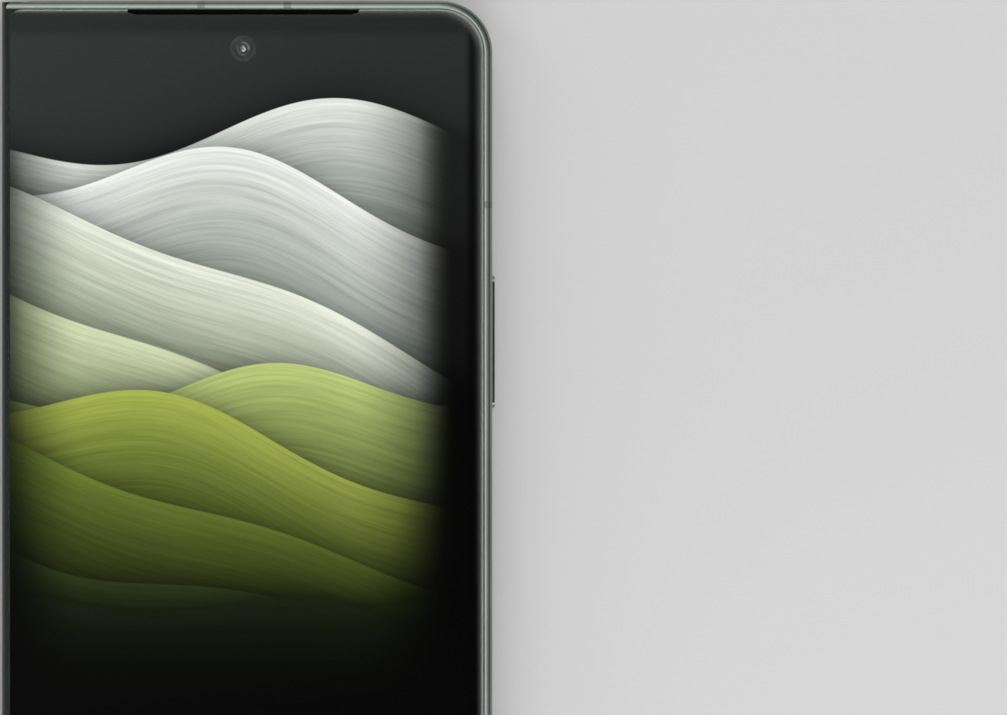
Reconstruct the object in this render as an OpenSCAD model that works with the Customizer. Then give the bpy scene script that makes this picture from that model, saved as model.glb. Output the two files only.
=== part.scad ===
// Book-style folding phone: a rear half with the cameras, a front half with the cover screen,
// and a hinge spine between them. It is drawn shut and lying on its back, cover screen up.
// The origin is at the middle of the space it takes up, on the surface it lies on.
// +X points away from the hinge, +Y to the top edge and +Z out of the cover screen.
// Each half is drawn as if the phone lay open: x from the centre line, z = 0 on the inner screen.

/* [Halves] */
// Centre line to outer edge of one half
half_w = 71.75; // [69:0.25:75]
// Height of the phone, bottom edge to top edge
body_h = 156.9; // [150:0.1:165]
// Thickness of one half, inner screen to back
half_t = 5.2; // [5:0.05:5.6]
// Radius of the outer corners in plan
corner_r = 7.5; // [6.5:0.1:9]
// Radius of the corners beside the hinge
hinge_corner_r = 1.2; // [0.6:0.1:1.4]
// Distance between the two inner screens when shut
face_gap = 0.6; // [0.5:0.05:0.8]
// Width of the metal rim seen from the front
rim_w = 1.25; // [1.1:0.05:1.4]
// Wall thickness of the metal rim
rim_wall = 2.4; // [2.2:0.1:2.8]
// Thickness of the middle plate behind the inner screen
mid_t = 1; // [0.8:0.1:1.2]
// Running clearance of keys, tray and knuckles
clear = 0.1; // [0.06:0.01:0.14]

/* [Inner screen] */
// Thickness of the folding panel
panel_t = 0.4; // [0.3:0.05:0.45]
// Width of the raised frame round the inner screen
bezel_w = 2.45; // [2:0.05:3]
// Height of that frame above the panel
bezel_raise = 0.2; // [0.1:0.05:0.22]
// How far the frame reaches over the panel's edge
bezel_lip = 0.2; // [0.1:0.05:0.3]
// Distance from the centre line at which the panel is rigid
flat_x = 9.8; // [9.8:0.05:10]
// Depth of the fold's control line behind the spine, as the screen closes
fold_depth = 3.5; // [3.3:0.05:3.6]

/* [Hinge] */
// Half the distance between the two hinge axes
axis_x = 2; // [1.9:0.05:2.1]
// Wall of a half over the spine: glass and metal together
wing_t = 0.7; // [0.65:0.05:0.75]
// Gap between a half and the spine
spine_gap = 0.15; // [0.12:0.01:0.18]
// Wall of the spine cover
spine_wall = 0.4; // [0.3:0.05:0.45]
// Radius of the two hinge shafts
shaft_r = 0.5; // [0.4:0.05:0.55]
// Radial clearance of shafts and pins in their bores
fit_gap = 0.05; // [0.03:0.01:0.06]
// Bearing wall at each end of the spine, along the hinge
end_wall = 0.85; // [0.7:0.05:1]
// Width of a hinge gear
gear_l = 0.85; // [0.7:0.05:0.9]
// Width of a knuckle
knuckle_l = 1; // [0.8:0.05:1.1]
// Outer wall at each end of the spine
cap_wall = 0.8; // [0.6:0.05:0.9]
// Tooth module of the hinge gears
gear_module = 0.15; // [0.14:0.005:0.155]
// Teeth of a gear on a hinge shaft
shaft_teeth = 14; // [12, 14]
// Teeth of an idler gear
idler_teeth = 10; // [8, 10]
// Length of a support plate under the folding screen
swing_l = 6.6; // [6:0.1:6.8]
// Thickness of a support plate
swing_t = 0.3; // [0.25:0.01:0.32]
// Angle that a support plate tilts by as the phone shuts
swing_angle = 23.5; // [23:0.5:24]
// Length of a friction bracket along the spine
bracket_l = 10; // [6:1:16]

/* [Cover screen] */
// Thickness of the cover glass
cover_glass_t = 0.35; // [0.3:0.05:0.4]
// Thickness of the screen panel under it
cover_panel_t = 0.15; // [0.1:0.05:0.2]
// Width of the curved edge of the glass
glass_curve_w = 2; // [1:0.1:3]
// How far the glass drops at its edge
glass_drop = 0.18; // [0.1:0.01:0.2]
// Cover camera: distance from the outer edge
cover_cam_x = 36.7; // [30:0.1:40]
// Cover camera: distance from the top edge
cover_cam_y = 7; // [6.5:0.1:9]
// Length of the earpiece slit
ear_l = 34; // [20:1:40]
// Height of the earpiece slit
ear_h = 0.45; // [0.3:0.05:0.6]

/* [Cameras and keys] */
// Height of the camera deck above the rear glass
deck_h = 1.3; // [1:0.1:1.6]
// Height of the lens rings above the rear glass
lens_h = 2; // [1.8:0.1:2.4]
// Diameter of the round camera deck
deck_w = 40; // [39:1:44]
// Distance from the top edge to the deck
deck_top = 8.5; // [8:0.5:12]
// Half the distance between the middles of two lenses
lens_step = 8.6; // [8:0.1:9]
// Outer radius of a lens ring
lens_r = 6.6; // [6:0.1:7]
// Inner camera: distance from the outer edge
inner_cam_x = 38.1; // [30:0.1:40]
// Inner camera: distance from the top edge
inner_cam_y = 8.8; // [8:0.1:12]
// Length of the volume key
volume_l = 19.6; // [16:0.2:22]
// Length of the power key
power_l = 10.5; // [8:0.5:12]
// Height of both keys
key_h = 1.9; // [1.6:0.1:2.1]
// How far the volume key stands out of the rim
key_out = 0.35; // [0.25:0.05:0.4]
// How far the power key stands out of the rim
power_out = 0; // [0:0.05:0.2]
// Distance from the top edge to the middle of the volume key
volume_top = 50.2; // [48:0.1:52]
// Distance from the top edge to the middle of the power key
power_top = 74.2; // [72:0.1:80]

/* [Hidden] */
$fn = 48;
eps = 0.01;
end_y = body_h / 2;
wing_x = 0.1;
deck_x = half_w / 2;

// Hinge axes: with face_gap between the screens when shut, both halves turn a quarter turn
axis_z = -(axis_x - face_gap / 2);
reach = axis_x - axis_z;
wing_z = -(half_t - wing_t);
recess_r = axis_z - wing_z;
spine_r = recess_r - spine_gap;
spine_in = spine_r - spine_wall;
spine_edge = axis_z - spine_r * sin(20);
total_x = half_w - reach + key_out;
row_x = (total_x - (spine_r - axis_z)) / 2;
row_z = lens_h + half_t + face_gap / 2;

// Levels of a half, from the screen down to the back glass
glass_seat = -(half_t - cover_glass_t - cover_panel_t);
bay_top = -panel_t - mid_t;
bezel_seat = -panel_t + 0.1;
panel_edge = rim_w + bezel_w - bezel_lip + 0.05;
glass_edge = rim_w + 0.05;
glass_x = 0.4;
glass_corner_r = 2;
lip_z = -half_t + glass_drop + 0.02;
round_h = 1.1;
screen_y = end_y - panel_edge - 0.05;

// Stations along the spine's end, from the screen outwards
cap_y = end_y - 0.1;
slot_y1 = cap_y - cap_wall;
slot_y0 = slot_y1 - knuckle_l - clear;
gear_y1 = slot_y0 - clear;
gear_y0 = gear_y1 - gear_l;
wall_y0 = gear_y0 - clear - end_wall;
block_y = end_y - panel_edge + 0.05;
shaft_end = cap_y - cap_wall / 2;

// Swing plates turn on a barrel at their outer edge
swing_x = flat_x + 0.5;
swing_pin_r = 0.2;
swing_z = -panel_t - 0.02 - swing_t;
block_x = swing_x + 1;
centre_top = -panel_t - 0.1;
centre_t = 0.35;
centre_w = axis_x + 0.85;
bracket_top = centre_top - centre_t;

// Hinge gears
shaft_pitch = gear_module * shaft_teeth / 2;
idler_pitch = gear_module * idler_teeth / 2;
idler_x = idler_pitch;
idler_z = axis_z - sqrt(pow(shaft_pitch + idler_pitch, 2) - pow(axis_x - idler_x, 2));
idler_pin_r = 0.25;
mesh_angle = atan2(axis_z - idler_z, axis_x - idler_x);
rear_idler_phase = 180;
front_idler_phase = 180 / idler_teeth;

// Knuckles, friction brackets and their washers
knuckle_r = 1.45;
arm_low = axis_z - 0.45;
bracket_at = [-48, 0, 48];
washer_t = 0.5;

// The screen's bend runs between two control points on each side
fold_start = [face_gap / 2, 0];
fold_end = [face_gap / 2 + 3, fold_depth];
fold_steps = 20;

// Places of what shows on the outside
split_w = 1.1;
split_depth = 0.9;
split_x = [deck_x - 7.025, deck_x + 5.675];
split_y = end_y - 30;
key_z = -2.7;
key_in = 2.1;
key_step = 0.15;
key_pivot = half_w - 1.7;
volume_y = end_y - volume_top;
power_y = end_y - power_top;
deck_y = end_y - deck_top - deck_w / 2;
inner_cam = [half_w - inner_cam_x, end_y - inner_cam_y];
cam_hole_r = 2.1;
cover_cam = [half_w - cover_cam_x, end_y - cover_cam_y];
lens_at = [[-1, 1], [1, 1], [-1, -1]];
lens_in_r = 5;
deck_hole_r = 5.8;
flash_r = 2.35;
deck_sink = 0.12;
port_z = -2.3;
port_w = 8.94;
port_h = 3.1;
grille_x = half_w - 21.5;
grille_step = 1.9;
grille_r = 0.5;
mic_x = half_w - 46.8;
tray_z = -2.4;
tray_w = 10.8;
tray_x = block_x + tray_w / 2 + 1.3;
tray_t = 0.8;
tray_l = 17;

// The deck sits in a hole of the rear glass, on a flange under the glass
glass_t = half_t + glass_seat;
flange_w = 1;
flange_t = 0.35;
module_top = glass_t + flange_t + 0.1;

// Inner parts: boards at the top, a battery in the middle, speaker and motor at the bottom
board_t = 0.8;
board_x0 = 12.5;
board_x1 = half_w - 4.2;
board_y0 = end_y - 61.45;
can_h = 1.6;
can_gap = 1.5;
can_x0 = board_x0 + 5;
can_x1 = board_x1 - 9.55;
can_y1 = deck_y - lens_step - 10.35;
cell_x0 = 14;
cell_x1 = half_w - 6;
cell_t = 2.9;
cell_y1 = board_y0 - 2.6;
rear_cell_y0 = -end_y + 36.45;
front_cell_y0 = -end_y + 30.45;
tab_x = [20, 34];
coil_r = 20;
coil_in_r = 12;
coil_t = 0.22;
coil_x = (cell_x0 + cell_x1) / 2;
coil_y = (rear_cell_y0 + cell_y1) / 2;
speaker_w = 17;
speaker_x1 = half_w - 7;
speaker_y1 = -end_y + 18.45;
speaker_t = 2.8;
small_board_x0 = deck_x - 9;
small_board_x1 = speaker_x1 - speaker_w - 2.9;
motor_x0 = 13;
motor_x1 = small_board_x0 - 1.9;
motor_y1 = -end_y + 16.45;
magnet_w = 2.15;
magnet_l = 24;
magnet_y0 = power_y - 14.25 - magnet_l;
screw_r = 0.7;
screw_at = [for (x = [board_x0 + 2, board_x1 - 2.3], y = [board_y0 + 3, board_y0 + 11]) [x, y]];

metal = "#56645a";
black = "#17181a";
grey = "#2b2d2c";
glass_green = "#1f2b25";
steel = "#8d9095";
gold = "#b39b5a";
board_green = "#1d4a34";
foil = "#3a3b3e";

// Placing: a half turned to its shut position, and the spine turned on its edge
module rear_half() translate([-row_x - reach, 0, row_z - face_gap / 2]) children();
module front_half()
    translate([-row_x - reach, 0, row_z + face_gap / 2]) mirror([0, 0, 1]) children();
module spine() translate([-row_x, 0, row_z]) rotate([0, 90, 0]) children();
module both_ends() {
    children();
    mirror([0, 1, 0]) children();
}

// A profile in x and z drawn out along y
module along_y(y0, y1) translate([0, y1, 0]) rotate([90, 0, 0]) linear_extrude(y1 - y0) children();
// A profile drawn out along x: its first coordinate becomes y
module along_x(x0, x1) translate([x0, 0, 0]) rotate([90, 0, 90]) linear_extrude(x1 - x0) children();
module box(x0, x1, y0, y1, z0, z1) translate([x0, y0, z0]) cube([x1 - x0, y1 - y0, z1 - z0]);
module round_box(x0, x1, y0, y1, z0, z1, r)
    translate([0, 0, z0]) linear_extrude(z1 - z0) round_rect(x0, x1, y0, y1, r);
module round_rect(x0, x1, y0, y1, r) {
    translate([x0 + r, y0]) square([x1 - x0 - 2 * r, y1 - y0]);
    translate([x0, y0 + r]) square([x1 - x0, y1 - y0 - 2 * r]);
    for (x = [x0 + r, x1 - r], y = [y0 + r, y1 - r]) translate([x, y]) circle(r);
}
module post(at, r, z0, z1) translate([at[0], at[1], z0]) cylinder(h = z1 - z0, r = r);
module shaft(at, r, y0, y1) translate([at[0], y1, at[1]]) rotate([90, 0, 0]) cylinder(h = y1 - y0, r = r);

// Outline of a half in plan, set in from its outer edges, starting at x0
module plan(inset, x0) {
    r = corner_r - inset;
    x1 = half_w - inset;
    y1 = end_y - inset;
    translate([x0, -y1]) square([x1 - r - x0, 2 * y1]);
    translate([x0, -y1 + r]) square([x1 - x0, 2 * (y1 - r)]);
    for (s = [-1, 1]) translate([x1 - r, s * (y1 - r)]) circle(r);
}
module slab(z0, z1, inset, x0) translate([0, 0, z0]) linear_extrude(z1 - z0) plan(inset, x0);

// A rim profile [distance in from the edge, z] swept round the three outer sides
module rim(points, x0) {
    side_y = end_y - corner_r;
    side_x = half_w - corner_r;
    translate([half_w, 0, 0]) along_y(-side_y, side_y) mirror([1, 0]) polygon(points);
    both_ends() {
        translate([0, end_y, 0]) along_x(x0, side_x) mirror([1, 0]) polygon(points);
        translate([side_x, side_y, 0])
            rotate_extrude(angle = 90) translate([corner_r, 0]) mirror([1, 0]) polygon(points);
    }
}

// What lies outside a rounded corner beside the hinge
module hinge_corner(x0, inset, r) both_ends() translate([0, 0, -half_t - 1]) linear_extrude(half_t + 2)
    difference() {
        translate([x0 - 1, end_y - inset - r]) square([r + 1, r + 1]);
        translate([x0 + r, end_y - inset - r]) circle(r);
    }

// Rim: a rounded polished edge with a fine groove, a flat side and the seats of glass and frame
function edge_round(a, k) =
    [rim_w + 0.03 - (rim_w + 0.03) * k * cos(a), lip_z + round_h - round_h * k * sin(a)];
function rim_points() = concat(
    [[rim_wall, glass_seat], [rim_w + 0.03, glass_seat]],
    [for (a = [90:-8:50]) edge_round(a, 1)],
    [edge_round(46, 1), edge_round(46, 0.93), edge_round(41, 0.93), edge_round(41, 1)],
    [for (a = [32:-8:0]) edge_round(a, 1)],
    [for (a = [0:15:90]) [0.5 - 0.5 * cos(a), -0.5 + 0.5 * sin(a)]],
    [
        [rim_w, 0], [rim_w, bezel_seat], [panel_edge - 0.05, bezel_seat],
        [panel_edge - 0.05, -panel_t], [panel_edge + 0.5, -panel_t],
        [panel_edge + 0.5, bay_top], [rim_wall, bay_top]
    ]
);

// Space that the spine turns in
module spine_space(y1) {
    shaft([axis_x, axis_z], recess_r, -y1, y1);
    box(wing_x - 1, axis_x, -y1, y1, wing_z, 1);
}

// Space above the ramp that the swing plate folds down onto
module above_ramp() {
    ramp_z = swing_z - 0.12 / cos(swing_angle);
    plate_end = swing_x + swing_t + clear;
    polygon([
        [plate_end, 1], [plate_end, swing_z], [swing_x, ramp_z],
        [axis_x, ramp_z - tan(swing_angle) * (swing_x - axis_x)], [axis_x, 1]
    ]);
}

// Knuckle: an eye on the hinge axis and the arm that carries it
module knuckle() both_ends() difference() {
    along_y(slot_y0 + clear / 2, slot_y1 - clear / 2) {
        translate([axis_x, axis_z]) circle(knuckle_r);
        polygon([
            [axis_x, arm_low], [axis_x + recess_r + 0.8, arm_low],
            [axis_x + recess_r + 0.8, bezel_seat], [axis_x + recess_r - 0.45, bezel_seat],
            [axis_x + recess_r - 0.85, bezel_raise - 0.05], [axis_x, bezel_raise - 0.05]
        ]);
    }
    shaft([axis_x, axis_z], shaft_r + eps, slot_y0, slot_y1);
}

module split_blocks() {
    for (x = split_x) both_ends()
        box(x - split_w / 2, x + split_w / 2, end_y - split_depth, end_y + 1, -half_t, 1);
    both_ends()
        box(half_w - split_depth, half_w + 1, split_y - split_w / 2, split_y + split_w / 2, -half_t, 1);
}

// Metal frame shared by both halves: rim, middle plate, ramp and knuckles
module half_frame() {
    difference() {
        union() {
            rim(rim_points(), wing_x);
            slab(bay_top, -panel_t, panel_edge, block_x - 1);
            box(wing_x, block_x, -block_y, block_y, glass_seat, -panel_t);
            both_ends() box(wing_x, block_x, block_y, end_y - rim_w - 0.2, glass_seat, bezel_seat);
        }
        along_y(-block_y, block_y) above_ramp();
        spine_space(end_y + 1);
        hinge_corner(wing_x, 0, hinge_corner_r);
        shaft([swing_x, swing_z], swing_t + 0.08, -block_y, block_y);
        shaft([swing_x, swing_z], swing_pin_r + fit_gap, -block_y - 0.8, block_y + 0.8);
        split_blocks();
    }
    knuckle();
}

module splits() intersection() {
    rim(rim_points(), wing_x);
    split_blocks();
}

// Glass with edges that curve down to the rim
module glass(bottom, hinge_r) {
    flat = glass_edge + glass_curve_w;
    edge = concat(
        [[flat + 0.5, bottom], [glass_edge, bottom]],
        [for (a = [0:10:90]) [
            flat - glass_curve_w * cos(a), -half_t + glass_drop - glass_drop * sin(a)
        ]],
        [[flat + 0.5, -half_t]]
    );
    difference() {
        union() {
            rim(edge, glass_x);
            slab(-half_t, bottom, flat, glass_x);
        }
        hinge_corner(glass_x, glass_edge, hinge_r);
    }
}

// Frame round the inner screen, stopped short of the spine
module bezel() difference() {
    rim([
        [rim_w + 0.05, bezel_seat], [panel_edge, bezel_seat], [panel_edge, 0.02],
        [rim_w + bezel_w, 0.02], [rim_w + bezel_w, bezel_raise - 0.08],
        [rim_w + bezel_w - 0.12, bezel_raise], [rim_w + 0.2, bezel_raise],
        [rim_w + 0.05, bezel_raise - 0.12]
    ], axis_x);
    spine_space(end_y + 1);
}

module screen_panel() slab(-panel_t, 0, panel_edge, flat_x);

// Swing plate: a flat plate on a barrel with a pin at each end, tilted as when shut
module swing_plate() translate([swing_x, 0, swing_z]) rotate([0, -swing_angle, 0]) {
    along_y(-block_y + clear, block_y - clear) {
        circle(swing_t);
        translate([-swing_l, 0]) square([swing_l, swing_t]);
    }
    shaft([0, 0], swing_pin_r, -block_y - 0.7, block_y + 0.7);
}

module hinge_shaft(side) spine() shaft([side * axis_x, axis_z], shaft_r, -shaft_end, shaft_end);

// Gears: straight-sided teeth with a little backlash
function gear_points(teeth, phase) = let(pitch = 360 / teeth, r = gear_module * teeth / 2)
    [for (i = [0:teeth - 1]) for (k = [
        [r - 1.15 * gear_module, -0.36], [r, -0.225], [r + 0.75 * gear_module, -0.12],
        [r + 0.75 * gear_module, 0.12], [r, 0.225], [r - 1.15 * gear_module, 0.36]
    ]) let(a = phase + (i + k[1]) * pitch) k[0] * [cos(a), sin(a)]];
// Phase at which a gap of a shaft gear meets an idler tooth, along the line between them
function meshed_phase(line, idler_phase) =
    line + 180 + (line - idler_phase) * idler_teeth / shaft_teeth + 180 / shaft_teeth;

module gear_pair(x, z, teeth, phase, bore) spine() both_ends() difference() {
    translate([x, 0, z]) along_y(gear_y0, gear_y1) polygon(gear_points(teeth, phase));
    shaft([x, z], bore, gear_y0 - 1, gear_y1 + 1);
}

// Outline of the spine: two round sides about the hinge axes and a flat back
module spine_outline(r, top) intersection() {
    union() {
        for (s = [-1, 1]) translate([s * axis_x, axis_z]) circle(r);
        translate([-axis_x, axis_z - r]) square([2 * axis_x, r + top - axis_z]);
    }
    translate([-10, -10]) square([20, 10 + top]);
}
module cover_profile() difference() {
    spine_outline(spine_r, spine_edge);
    spine_outline(spine_in, spine_edge + 1);
}
module cap_profile() difference() {
    spine_outline(spine_r, bezel_raise);
    cover_profile();
}
// Slim profile of what stands under the folding screen
module bracket_profile() intersection() {
    spine_outline(spine_in, bracket_top);
    union() {
        for (s = [-1, 1]) translate([s * axis_x, axis_z]) circle(1.25);
        translate([-axis_x, axis_z - spine_in]) square([2 * axis_x, spine_in + 2]);
        translate([-axis_x - 1.2, axis_z - spine_in]) square([2 * axis_x + 2.4, spine_in - 0.4]);
    }
}
module shaft_bores(y0, y1) for (s = [-1, 1])
    shaft([s * axis_x, axis_z], shaft_r + fit_gap, y0, y1);

// Room for the knuckles through their quarter turn
module knuckle_room() along_y(slot_y0, slot_y1) for (s = [0, 1]) mirror([s, 0]) {
    translate([axis_x, axis_z]) circle(knuckle_r + clear);
    translate([-eps, axis_z]) square([axis_x + 4, 4]);
    translate([axis_x, arm_low - clear]) square([4, 4]);
}

// Row of speaker holes in the bottom edge
module grille() for (i = [0:5])
    shaft([grille_x + i * grille_step, port_z], grille_r, -end_y - 1, -end_y + rim_wall + 1);

module rear_frame() color(metal) rear_half() difference() {
    half_frame();
    key_slot(volume_y, volume_l);
    key_slot(power_y, power_l);
    post(inner_cam, cam_hole_r, bay_top - 1, 1);
    along_y(-end_y - 1, -end_y + rim_wall + 0.1) port_profile(port_w / 2 + 0.03, port_h / 2 + 0.03);
    box(deck_x - port_w / 2 - 0.5, deck_x + port_w / 2 + 0.5, -end_y + rim_wall, -end_y + 9,
        bay_top - 1, port_z + port_h / 2 + 0.05);
    grille();
    shaft([22, port_z], 0.4, -end_y - 1, -end_y + rim_wall + 1);
    shaft([mic_x, port_z], 0.6, end_y - rim_wall - 1, end_y + 1);
    shaft([half_w - 22.9, port_z], 0.3, end_y - rim_wall - 1, end_y + 1);
    for (at = screw_at) post(at, screw_r, bay_top - 1, bay_top + 0.8);
}

module port_profile(w, h) translate([deck_x, port_z]) {
    square([2 * (w - h), 2 * h], center = true);
    for (s = [-1, 1]) translate([s * (w - h), 0]) circle(h);
}

// A key slot: the key's own outline through the wall, and a wider pocket for its flange
module key_outline(l, h) {
    square([l - h, h], center = true);
    for (s = [-1, 1]) translate([s * (l - h) / 2, 0]) circle(h / 2);
}
module key_slot(y, l) {
    translate([0, y, key_z]) along_x(half_w - rim_wall - 1, half_w + 1)
        key_outline(l + 2 * clear, key_h + 2 * clear);
    translate([0, y, key_z]) along_x(half_w - rim_wall - 1, half_w - 1.3)
        key_outline(l + 1.8, key_h + 0.9);
}
module key(y, l, out, flange_x) translate([0, y, key_z]) {
    along_x(half_w - key_in, half_w + out - key_step) key_outline(l, key_h);
    along_x(half_w - 2 * key_step, half_w + out) key_outline(l - 2 * key_step, key_h - 2 * key_step);
    along_x(half_w - key_in, half_w - flange_x) key_outline(l + 1.2, key_h + 0.4);
}

module rear_splits() color(grey) rear_half() splits();
module rear_glass() color(glass_green) rear_half() difference() {
    glass(glass_seat, glass_corner_r);
    translate([deck_x, deck_y, -half_t - 1]) cylinder(h = half_t, r = deck_w / 2 + fit_gap, $fn = 120);
}
module camera_deck() color(metal) rear_half() difference() {
    translate([deck_x, deck_y, -half_t]) rotate_extrude($fn = 120) polygon([
        [0, glass_t + flange_t], [deck_w / 2 + flange_w, glass_t + flange_t],
        [deck_w / 2 + flange_w, glass_t], [deck_w / 2, glass_t], [deck_w / 2, -deck_h * 0.5],
        for (a = [15:15:75]) deck_w / 2 * [1, 0] + [0.5 * cos(a) - 0.5, -deck_h * 0.5 - 0.5 * sin(a)],
        [deck_w / 2 - 0.5, -deck_h], [deck_w / 2 - 0.9, -deck_h], [deck_w / 2 - 1, -deck_h + deck_sink],
        [0, -deck_h + deck_sink]
    ]);
    for (at = lens_at)
        post([deck_x + at[0] * lens_step, deck_y + at[1] * lens_step], deck_hole_r, -half_t - lens_h, 0);
    post([deck_x + lens_step, deck_y - lens_step], flash_r + 0.1, -half_t - lens_h, 0);
    post([deck_x + lens_step + 4.5, deck_y - lens_step - 4.5], 0.4, -half_t - lens_h, 0);
}
module at_lenses() rear_half() for (at = lens_at)
    translate([deck_x + at[0] * lens_step, deck_y + at[1] * lens_step, -half_t]) children();
module lens_rings() color(steel) at_lenses() rotate_extrude() polygon([
    [lens_in_r, deck_sink - deck_h], [lens_r, deck_sink - deck_h], [lens_r, -lens_h + 0.25],
    [lens_r - 0.25, -lens_h], [lens_in_r + 0.5, -lens_h], [lens_in_r, -lens_h + 0.3]
]);
module lens_covers() color("#0c0e12") at_lenses()
    translate([0, 0, -lens_h + 0.3]) cylinder(h = 0.4, r = lens_in_r);
module camera_modules() color(black) at_lenses() {
    translate([-6, -6, module_top]) cube([12, 12, half_t + bay_top - module_top]);
    translate([0, 0, -lens_h + 0.75]) cylinder(h = lens_h, r = lens_in_r - 0.1);
}
module flash_lens() color("ivory") rear_half()
    post([deck_x + lens_step, deck_y - lens_step], flash_r, -half_t - deck_h + 0.05, -half_t + 0.6);
module rear_bezel() color(grey) rear_half() bezel();
module rear_screen() color(black) rear_half() difference() {
    screen_panel();
    post(inner_cam, cam_hole_r, -1, 1);
}
module inner_camera() color(black) rear_half() {
    post(inner_cam, cam_hole_r - 0.05, bay_top - 1.2, -0.12);
    post(inner_cam, 1.1, -0.12, -0.06);
}

module main_board() color(board_green) rear_half() difference() {
    round_box(board_x0, board_x1, board_y0, end_y - 5.2, bay_top - board_t, bay_top, 1.5);
    round_box(deck_x - 15.5, deck_x + 15.5, deck_y - 15.5, deck_y + 15.5, -4, 0, 1);
    post(inner_cam, 2.6, -4, 0);
    for (at = screw_at) post(at, screw_r + 0.05, -4, 0);
}
module shield_cans() color(steel) rear_half() {
    can_w = (can_x1 - can_x0 - can_gap) / 2;
    for (x = [can_x0, can_x0 + can_w + can_gap])
        round_box(x, x + can_w, board_y0 + 1.2, can_y1, bay_top - board_t - can_h, bay_top - board_t, 1);
}
module screws() for (at = screw_at) {
    post(at, screw_r - 0.02, bay_top - board_t, bay_top + 0.7);
    difference() {
        post(at, 1.25, bay_top - board_t - 0.6, bay_top - board_t);
        post(at, 0.4, bay_top - board_t - 1, bay_top - board_t - 0.35);
    }
}
module board_screws() color(steel) rear_half() screws();
module cell(y0) {
    round_box(cell_x0, cell_x1, y0, cell_y1, bay_top - cell_t, bay_top, 1.2);
    box(tab_x[0], tab_x[1], cell_y1 - eps, cell_y1 + 2, bay_top - 1.6, bay_top - board_t);
}
module rear_battery() color(foil) rear_half() cell(rear_cell_y0);
module speaker_box() round_box(speaker_x1 - speaker_w, speaker_x1, -end_y + rim_wall, speaker_y1,
    bay_top - speaker_t, bay_top, 1);
module loudspeaker() color(black) rear_half() speaker_box();
module haptic_motor() color(steel) rear_half()
    round_box(motor_x0, motor_x1, -end_y + 6, motor_y1, bay_top - 2.9, bay_top, 0.6);
module charge_port() color(steel) rear_half() {
    difference() {
        along_y(-end_y + 0.15, -end_y + 7.6) port_profile(port_w / 2, port_h / 2);
        along_y(-end_y, -end_y + 7) port_profile(port_w / 2 - 0.3, port_h / 2 - 0.27);
    }
    box(deck_x - 3.35, deck_x + 3.35, -end_y + 1, -end_y + 7.1, port_z - 0.35, port_z + 0.35);
}
module charge_board() color(board_green) rear_half()
    round_box(small_board_x0, small_board_x1, -end_y + 9.2, -end_y + 32.45,
        bay_top - board_t, bay_top, 1);
module key_switches() color(gold) rear_half() {
    box(half_w - rim_wall - 0.3, half_w - rim_wall, power_y - 5, volume_y + 9, key_z - 0.9, key_z + 0.9);
    for (y = [power_y, volume_y - 6.5, volume_y + 6.5])
        translate([half_w - rim_wall - 0.7, y, key_z]) rotate([0, 90, 0]) cylinder(h = 0.5, r = 1.3);
}
module charging_coil() color(gold) rear_half()
    translate([coil_x, coil_y, bay_top - cell_t - coil_t - 0.03]) difference() {
        cylinder(h = coil_t, r = coil_r);
        translate([0, 0, -1]) cylinder(h = coil_t + 2, r = coil_in_r);
    }
module magnet() round_box(half_w - rim_wall - 0.05 - magnet_w, half_w - rim_wall - 0.05,
    magnet_y0, magnet_y0 + magnet_l, bay_top - 1.6, bay_top, 0.3);
module rear_magnet() color(steel) rear_half() magnet();
module rear_shaft() color(steel) hinge_shaft(1);
module rear_gears() color(gold) gear_pair(axis_x, axis_z, shaft_teeth,
    meshed_phase(mesh_angle, rear_idler_phase), shaft_r + eps);

module front_frame() color(metal) front_half() difference() {
    half_frame();
    along_y(-end_y - 1, -end_y + rim_wall + 1) tray_outline(tray_w / 2 + 1 + clear, 0.8 + clear);
    shaft([half_w - 60.5, port_z], 0.5, end_y - rim_wall - 1, end_y + 1);
    shaft([mic_x, port_z], 0.5, end_y - rim_wall - 1, end_y + 1);
    grille();
    for (at = screw_at) post(at, screw_r, bay_top - 1, bay_top + 0.8);
}
module tray_outline(w, h) translate([tray_x, tray_z]) {
    square([2 * (w - h), 2 * h], center = true);
    for (s = [-1, 1]) translate([s * (w - h), 0]) circle(h);
}
module front_splits() color(grey) front_half() splits();
module ear_outline(grow) {
    y0 = end_y - rim_w - 0.3 - ear_h;
    x = cover_cam[0];
    l = ear_l / 2 + grow;
    polygon([[x - l, y0 + ear_h + 1], [x - l, y0 + ear_h * 0.6], [x - l + 1.2, y0 - grow],
        [x + l - 1.2, y0 - grow], [x + l, y0 + ear_h * 0.6], [x + l, y0 + ear_h + 1]]);
}
module cover_glass() color(black) front_half() difference() {
    glass(-half_t + cover_glass_t, glass_corner_r);
    translate([0, 0, -half_t - 1]) linear_extrude(2) ear_outline(0.03);
}
module cover_screen() color(black) front_half() difference() {
    slab(-half_t + cover_glass_t, glass_seat, glass_edge + 0.35, glass_x + 0.3);
    hinge_corner(glass_x + 0.3, glass_edge + 0.35, 1.6);
    post(cover_cam, 2, -half_t - 1, 0);
    translate([0, 0, -half_t - 1]) linear_extrude(3) ear_outline(0.1);
}
module cover_camera() color(black) front_half() {
    post(cover_cam, 1.9, -half_t + cover_glass_t + 0.05, -half_t + 2.6);
    post(cover_cam, 2.9, -half_t + 1, bay_top);
}
module earpiece_mesh() color(steel) front_half() intersection() {
    translate([0, 0, -half_t + glass_drop + 0.05])
        linear_extrude(cover_glass_t + cover_panel_t - glass_drop - 0.05) ear_outline(0);
    box(0, half_w, end_y - rim_w - 2, end_y - rim_w - 0.05, -half_t, 0);
}
module earpiece() color(black) front_half()
    round_box(cover_cam[0] + 5, cover_cam[0] + 19, end_y - 8.4, end_y - rim_wall - 0.05, -half_t + 0.7,
        bay_top, 0.8);
module front_bezel() color(grey) front_half() bezel();
module front_screen() color(black) front_half() screen_panel();
module front_battery() color(foil) front_half() cell(front_cell_y0);
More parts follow.
